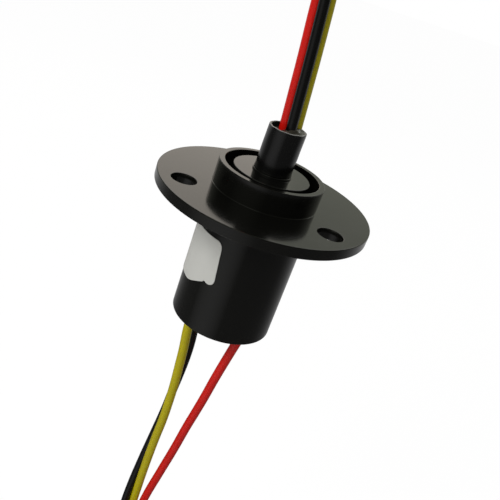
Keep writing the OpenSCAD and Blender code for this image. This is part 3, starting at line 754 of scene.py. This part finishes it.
# %% [markdown]
# ## Cable ties
#
# A nylon cable tie holds each hank: a flat strap with fine teeth across it, pulled through a
# square head and cut off short. The strap follows a closed path and its teeth repeat along
# it, so one Geometry Nodes tree makes both: it sweeps a flat section along the path and sets a
# bar at equal steps.

# %% Build the strap tree
def strap_tree(name):
    """A flat strap swept along a closed path, with a tooth at each step."""
    tree, given = new_tree(name, "Strap", Path="Geometry", Width="Float", Thickness="Float", Step="Float",
                           Tooth="Float", Finish="Material")
    path = add(tree, "GeometryNodeMeshToCurve", None, {"Mesh": given["Path"]})
    upright = add(tree, "GeometryNodeSetCurveNormal", None, {"Curve": path.outputs["Curve"]}, mode="Z_UP")
    section = add(tree, "GeometryNodeCurvePrimitiveQuadrilateral", None,
                  {"Width": given["Thickness"], "Height": given["Width"]})
    softened = add(tree, "GeometryNodeFilletCurve", {"Count": 2, "Radius": 0.2 * MM},
                   {"Curve": section.outputs["Curve"]}, mode="POLY")
    swept = add(tree, "GeometryNodeCurveToMesh", {"Fill Caps": True},
                {"Curve": upright.outputs["Curve"], "Profile Curve": softened.outputs["Curve"]})
    spots = add(tree, "GeometryNodeCurveToPoints", None,
                {"Curve": upright.outputs["Curve"], "Length": given["Step"]}, mode="LENGTH")
    reach = add(tree, "ShaderNodeMath", {1: 0.72}, {0: given["Width"]}, operation="MULTIPLY")
    deep = add(tree, "ShaderNodeMath", None, {0: given["Thickness"], 1: given["Tooth"]}, operation="ADD")
    size = add(tree, "ShaderNodeCombineXYZ", None,
               {"X": deep.outputs["Value"], "Y": reach.outputs["Value"], "Z": given["Tooth"]})
    bar = add(tree, "GeometryNodeMeshCube", None, {"Size": size.outputs["Vector"]})
    teeth = add(tree, "GeometryNodeInstanceOnPoints", None,
                {"Points": spots.outputs["Points"], "Instance": bar.outputs["Mesh"],
                 "Rotation": spots.outputs["Rotation"]})
    joined = add(tree, "GeometryNodeJoinGeometry")
    tree.links.new(swept.outputs["Mesh"], joined.inputs[0])
    tree.links.new(teeth.outputs["Instances"], joined.inputs[0])
    return finish_tree(tree, "Strap", joined.outputs["Geometry"], given["Finish"])


strap_nodes = strap_tree("strap_with_teeth")
print("strap tree:", len(strap_nodes.nodes), "nodes")

# %% Pull a tie round each hank
def rounded_loop(x, y, half_x, half_y, z, bend, per_corner=7):
    """A closed loop of edges round a rectangle with rounded corners."""
    points = []
    for quarter, (sx, sy) in enumerate(((1, 1), (-1, 1), (-1, -1), (1, -1))):
        for k in range(per_corner + 1):
            a = math.pi / 2 * (quarter + k / per_corner)
            points.append(((x + sx * (half_x - bend) + bend * math.cos(a)) * MM,
                           (y + sy * (half_y - bend) + bend * math.sin(a)) * MM, z * MM))
    mesh = bpy.data.meshes.new("loop")
    mesh.from_pydata(points, [(i, (i + 1) % len(points)) for i in range(len(points))], [])
    return mesh


def box_in(shell, centre, size):
    """Adds a box to a bmesh, by its centre and size in mm."""
    for v in bmesh.ops.create_cube(shell, size=1)["verts"]:
        v.co = (centre + v.co * Vector(size)) * MM


STRAP_WIDE, STRAP_THICK, STRAP_BEND, HEAD_DEEP = 2.4, 0.85, 1.1, 3.2
TOOTH, TOOTH_STEP = 0.14, 0.75


def cable_tie(name, body, node):
    """A tie in the space of its plain solid: a strap, and a head with its pawl and the cut tail."""
    low, high = (Vector(c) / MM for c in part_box(node))
    middle, head_x = (low + high) / 2, high.x - HEAD_DEEP
    strap_half = ((head_x - low.x - STRAP_THICK) / 2, (high.y - low.y - STRAP_THICK) / 2)
    loop = rounded_loop((head_x + low.x) / 2, middle.y, *strap_half, middle.z, STRAP_BEND)
    strap = with_nodes(name + "_strap", loop, strap_nodes, Width=STRAP_WIDE * MM, Thickness=STRAP_THICK * MM,
                       Step=TOOTH_STEP * MM, Tooth=TOOTH * MM, Finish=tie_nylon)
    both = bmesh.new()
    both.from_mesh(strap)
    head = bmesh.new()
    corner = Vector((head_x, middle.y, middle.z))
    box_in(head, corner + Vector((1.5, 0, 0)), (2.9, 4.0, 3.0))
    bmesh.ops.bevel(head, geom=head.edges[:], offset=0.35 * MM, segments=3, affect="EDGES")
    # The cut tail stands out at one side of the head, and the pawl shows at the other.
    box_in(head, corner + Vector((1.55, -2.3, 0)), (0.9, 1.2, 2.1))
    box_in(head, corner + Vector((2.35, 2.0, 0)), (0.5, 0.5, 1.5))
    bmesh.ops.recalc_face_normals(head, faces=head.faces)
    extra = bpy.data.meshes.new("head")
    head.to_mesh(extra)
    both.from_mesh(extra)
    whole = bpy.data.meshes.new(name)
    both.to_mesh(whole)
    both.free()
    head.free()
    whole.shade_smooth()
    whole.set_sharp_from_angle(angle=math.radians(35))
    return new_piece(name, whole, body, tie_nylon, "tie_nylon", node)


ties = {"low": cable_tie("tie_low", "stator", "stator_tie"),
        "top": cable_tie("tie_top", "rotor", "rotor_tie")}
print("ties:", [len(t.data.polygons) for t in ties.values()], "faces")

# %% [markdown]
# ## The tinned ends
#
# The last 6 mm of each lead is stripped. Seven strands are left, six wound round one, and
# dipped in solder, so they shine and keep their twist. The tree makes one rope of strands
# from a spiral and stands a copy on each point that it is given.

# %% Build the rope tree
def rope_tree(name):
    """Six strands wound round a seventh, with a copy on each point."""
    tree, given = new_tree(name, "Ropes", Feet="Geometry", Strand="Float", Length="Float", Turns="Float",
                           Finish="Material")
    across = add(tree, "ShaderNodeMath", {1: 2.0}, {0: given["Strand"]}, operation="MULTIPLY")
    wound = add(tree, "GeometryNodeCurveSpiral", {"Resolution": 24},
                {"Rotations": given["Turns"], "Start Radius": across.outputs["Value"],
                 "End Radius": across.outputs["Value"], "Height": given["Length"]})
    gathered = add(tree, "GeometryNodeMeshLine", {"Count": 6, "Offset": (0, 0, 0)})
    which = add(tree, "GeometryNodeInputIndex")
    turn = add(tree, "ShaderNodeMath", {1: math.pi / 3}, {0: which.outputs["Index"]}, operation="MULTIPLY")
    spin = add(tree, "ShaderNodeCombineXYZ", None, {"Z": turn.outputs["Value"]})
    six = add(tree, "GeometryNodeInstanceOnPoints", None,
              {"Points": gathered.outputs["Mesh"], "Instance": wound.outputs["Curve"],
               "Rotation": spin.outputs["Vector"]})
    top = add(tree, "ShaderNodeCombineXYZ", None, {"Z": given["Length"]})
    core = add(tree, "GeometryNodeCurvePrimitiveLine", {"Start": (0, 0, 0)}, {"End": top.outputs["Vector"]})
    seven = add(tree, "GeometryNodeJoinGeometry")
    tree.links.new(six.outputs["Instances"], seven.inputs[0])
    tree.links.new(core.outputs["Curve"], seven.inputs[0])
    laid = add(tree, "GeometryNodeRealizeInstances", None, {"Geometry": seven.outputs["Geometry"]})
    section = add(tree, "GeometryNodeCurvePrimitiveCircle", {"Resolution": 10}, {"Radius": given["Strand"]})
    rope = add(tree, "GeometryNodeCurveToMesh", {"Fill Caps": True},
               {"Curve": laid.outputs["Geometry"], "Profile Curve": section.outputs["Curve"]})
    copies = add(tree, "GeometryNodeInstanceOnPoints", None,
                 {"Points": given["Feet"], "Instance": rope.outputs["Mesh"]})
    return finish_tree(tree, "Ropes", copies.outputs["Instances"], given["Finish"])


rope_nodes = rope_tree("rope_of_strands")
for side, body, node in (("low", "stator", "stator_tips"), ("top", "rotor", "rotor_tips")):
    low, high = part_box(node)
    core_d = high.y - low.y
    hank, across = (lower_hank, LOWER_X) if side == "low" else (upper_hank, UPPER_X)
    places = [(x * MM, hank(x)[-1][1] * MM, low.z) for x in across.values()]
    feet_mesh = bpy.data.meshes.new("feet")
    feet_mesh.from_pydata(places, [], [])
    rope_mesh = with_nodes("strands_" + side, feet_mesh, rope_nodes, Strand=core_d / 6,
                           Length=high.z - low.z, Turns=0.55, Finish=tinned_copper)
    rope_mesh.shade_smooth()
    rope_mesh.set_sharp_from_angle(angle=math.radians(50))
    new_piece("strands_" + side, rope_mesh, body, tinned_copper, "tinned_copper", node)

# %% [markdown]
# ## Dressing the solids that stay
#
# A solid whose shape is already right only needs its finish. Most of them are inside the
# housing and are seen when the part is opened or cut, so they are finished all the same.

# %% Put the finishes on the solids
DRESS = {
    "end_cap": cap_pbt, "rotor_hub": rotor_pbt,
    "upper_bearing_outer": bearing_steel, "lower_bearing_outer": bearing_steel,
    "upper_bearing_inner": bearing_steel, "lower_bearing_inner": bearing_steel,
    "upper_balls": ball_steel, "lower_balls": ball_steel, "upper_cage": cage_brass, "lower_cage": cage_brass,
    "brush_board_front": laminate, "brush_board_back": laminate,
    "retaining_clip": clip_steel,
}
for k in (1, 2, 3):
    DRESS["contact_ring_%d" % k] = ring_gold
    DRESS["brush_front_%d" % k] = DRESS["brush_back_%d" % k] = brush_gold
for k in (1, 2, 3, 4):
    DRESS["ring_spacer_%d" % k] = spacer_nylon
for colour in insulation:
    for stem in ("stator_wire_", "rotor_wire_"):
        DRESS[stem + colour] = insulation[colour]
for node, finish in DRESS.items():
    solid = solids[node]
    solid.data.materials.clear()
    solid.data.materials.append(finish)
print("dressed", len(DRESS), "of", len(solids), "solids")

# %% [markdown]
# ## The leads take their places
#
# Each lead gets its insulation, moves with its body and stands for its plain solid. The black
# leads also stand for the hanks' plain solids, since all three leads of a side are folded
# together there.

for name, piece in leads.items():
    side, colour = name.split("_")
    low = side == "low"
    piece.data.materials.append(insulation[colour])
    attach(piece, "stator" if low else "rotor")
    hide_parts(("stator_lead_" if low else "rotor_lead_") + colour)
    if colour == "black":
        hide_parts("stator_hank" if low else "rotor_hank")
for name, piece in leads.items():
    side, colour = name.split("_")
print("cords:", len(leads))

# %% [markdown]
# ## Floor and light
#
# Black plastic shows little of its own colour: it shows what it mirrors. So the studio has two
# faces. Behind the part stands a white backdrop, and the flange and the disc, seen at a low
# angle, mirror it as a warm grey. In front the room is dark, and the upright walls mirror that,
# which keeps them black. Light Path nodes tell the rays apart: the camera and glass see plain
# white all round, mirrors see the two faces, and everything else gets an even, plain light.

# %% Set the levels of the studio
ROOM_LEVEL, BACKDROP_LEVEL, PLAIN_LEVEL = 0.07, 0.46, 0.38
# A paler strip of the room lies to the left in front, and draws the soft highlight on the body.
GLOW_TURN, GLOW_HALF, GLOW_LEVEL = math.radians(-150), math.radians(38), 0.28
GLOW_WAY = (math.sin(GLOW_TURN), math.cos(GLOW_TURN), 0)


def studio_level(tree, where, dark_end, white_end, plain, shown):
    """A strength: shown to the camera, plain to most rays, and the studio's two faces to mirrors."""
    seen = add(tree, "ShaderNodeLightPath").outputs
    direct = add(tree, "ShaderNodeMath", None,
                 {0: seen["Is Camera Ray"], 1: seen["Is Transmission Ray"]}, operation="MAXIMUM")
    split = add(tree, "ShaderNodeSeparateXYZ", None, {"Vector": where})
    ends = {"From Min": dark_end, "From Max": white_end, "To Min": ROOM_LEVEL, "To Max": BACKDROP_LEVEL}
    faces = add(tree, "ShaderNodeMapRange", ends, {"Value": split.outputs["Y"]},
                interpolation_type="SMOOTHSTEP")
    level_way = add(tree, "ShaderNodeVectorMath", {1: (1, 1, 0)}, {0: where}, operation="MULTIPLY")
    unit = add(tree, "ShaderNodeVectorMath", None, {0: level_way.outputs["Vector"]}, operation="NORMALIZE")
    towards = add(tree, "ShaderNodeVectorMath", {1: GLOW_WAY}, {0: unit.outputs["Vector"]},
                  operation="DOT_PRODUCT")
    fan_ends = {"From Min": math.cos(GLOW_HALF), "From Max": 1.0, "To Max": GLOW_LEVEL}
    fan = add(tree, "ShaderNodeMapRange", fan_ends, {"Value": towards.outputs["Value"]})
    room = add(tree, "ShaderNodeMath", None, {0: faces.outputs["Result"], 1: fan.outputs["Result"]},
               operation="ADD")
    mirrored = add(tree, "ShaderNodeMix", {2: plain}, {0: seen["Is Glossy Ray"], 3: room.outputs["Value"]})
    return add(tree, "ShaderNodeMix", {3: shown}, {0: direct.outputs["Value"], 2: mirrored.outputs[0]})


print("the backdrop is", round(BACKDROP_LEVEL / ROOM_LEVEL, 1), "times as bright as the room")

# %% Lay the floor
ground = box_before[0].z - 2 * MM
FLOOR_HALF, FLOOR_SHOWN = 3, 1.02
floor_mesh = bpy.data.meshes.new("floor")
floor_corners = [(x * FLOOR_HALF, y * FLOOR_HALF, ground) for x, y in ((-1, -1), (1, -1), (1, 1), (-1, 1))]
floor_mesh.from_pydata(floor_corners, [], [(0, 1, 2, 3)])
floor = bpy.data.objects.new("floor", floor_mesh)
bpy.context.scene.collection.objects.link(floor)
paper = bpy.data.materials.new("paper_pale")
paper.use_nodes = True
tree = paper.node_tree
tree.nodes.clear()
place = add(tree, "ShaderNodeTexCoord")
level = studio_level(tree, place.outputs["Object"], 0.0, 0.36, 0.0, FLOOR_SHOWN)
# Plain rays see matt paper. For the camera and mirrors a twentieth of it stays, with its shadow.
either = add(tree, "ShaderNodeMath", {1: 0.0}, {0: level.outputs[0]}, operation="GREATER_THAN")
share = add(tree, "ShaderNodeMath", {1: 0.95}, {0: either.outputs["Value"]}, operation="MULTIPLY")
matt = add(tree, "ShaderNodeBsdfDiffuse", {"Color": linear("#f2f2f0")})
glow = add(tree, "ShaderNodeEmission", {"Color": (1, 1, 1, 1)}, {"Strength": level.outputs[0]})
both = add(tree, "ShaderNodeMixShader", None,
           {0: share.outputs["Value"], 1: matt.outputs["BSDF"], 2: glow.outputs["Emission"]})
add(tree, "ShaderNodeOutputMaterial", None, {"Surface": both.outputs["Shader"]})
floor_mesh.materials.append(paper)
print("floor at", round(ground / MM, 1), "mm")

# %% Put the world round it
MIRROR_TINT = (1.0, 1.03, 0.86, 1)
world = bpy.data.worlds.new("studio")
bpy.context.scene.world = world
world.use_nodes = True
tree = world.node_tree
tree.nodes.clear()
towards = add(tree, "ShaderNodeTexCoord")
level = studio_level(tree, towards.outputs["Generated"], 0.1, 0.8, PLAIN_LEVEL, 1.0)
mirror = add(tree, "ShaderNodeLightPath")
tint = add(tree, "ShaderNodeMix", {6: (1, 1, 1, 1), 7: MIRROR_TINT}, {0: mirror.outputs["Is Glossy Ray"]},
           data_type="RGBA")
sky = add(tree, "ShaderNodeBackground", None, {"Color": tint.outputs[2], "Strength": level.outputs[0]})
add(tree, "ShaderNodeOutputWorld", None, {"Surface": sky.outputs["Background"]})
print("world nodes:", len(tree.nodes))

# %% [markdown]
# ## Lamps
#
# Large soft lamps give black plastic its shape. A wide one behind and to the left draws the
# paler sheen on that side of the flange, and one high behind draws the bright line on the rims.
# The key lamp stands in front on the left and lights the colours. Mirrors don't see it, as
# behind a polarising filter, because its hard glints would hide the form of the black walls.

# %% Hang the lamps
def soft_lamp(name, centre, aim, width, height, watts):
    """A rectangular soft lamp at a point in millimetres, aimed at another."""
    lamp = bpy.data.lights.new(name, "AREA")
    lamp.shape = "RECTANGLE"
    lamp.size, lamp.size_y = width * MM, height * MM
    lamp.energy = watts
    thing = bpy.data.objects.new(name, lamp)
    bpy.context.scene.collection.objects.link(thing)
    thing.location = Vector(centre) * MM
    thing.rotation_mode = "QUATERNION"
    thing.rotation_quaternion = ((Vector(aim) - Vector(centre)) * MM).to_track_quat("-Z", "Y")
    return thing


back_lamp = soft_lamp("lamp_back", (-185, 620, 230), (0, 0, 0), 420, 260, 0.25)
back_lamp.data.color = (1.0, 0.86, 0.80)
soft_lamp("lamp_rim", (0, 580, 400), (0, 0, 0), 600, 170, 0.42)
key_lamp = soft_lamp("lamp_key", (-370, -400, 400), (0, 0, -10), 260, 260, 3.0)
key_lamp.visible_glossy = False
bpy.context.scene.view_settings.view_transform = "Standard"
print("lamps: 3")
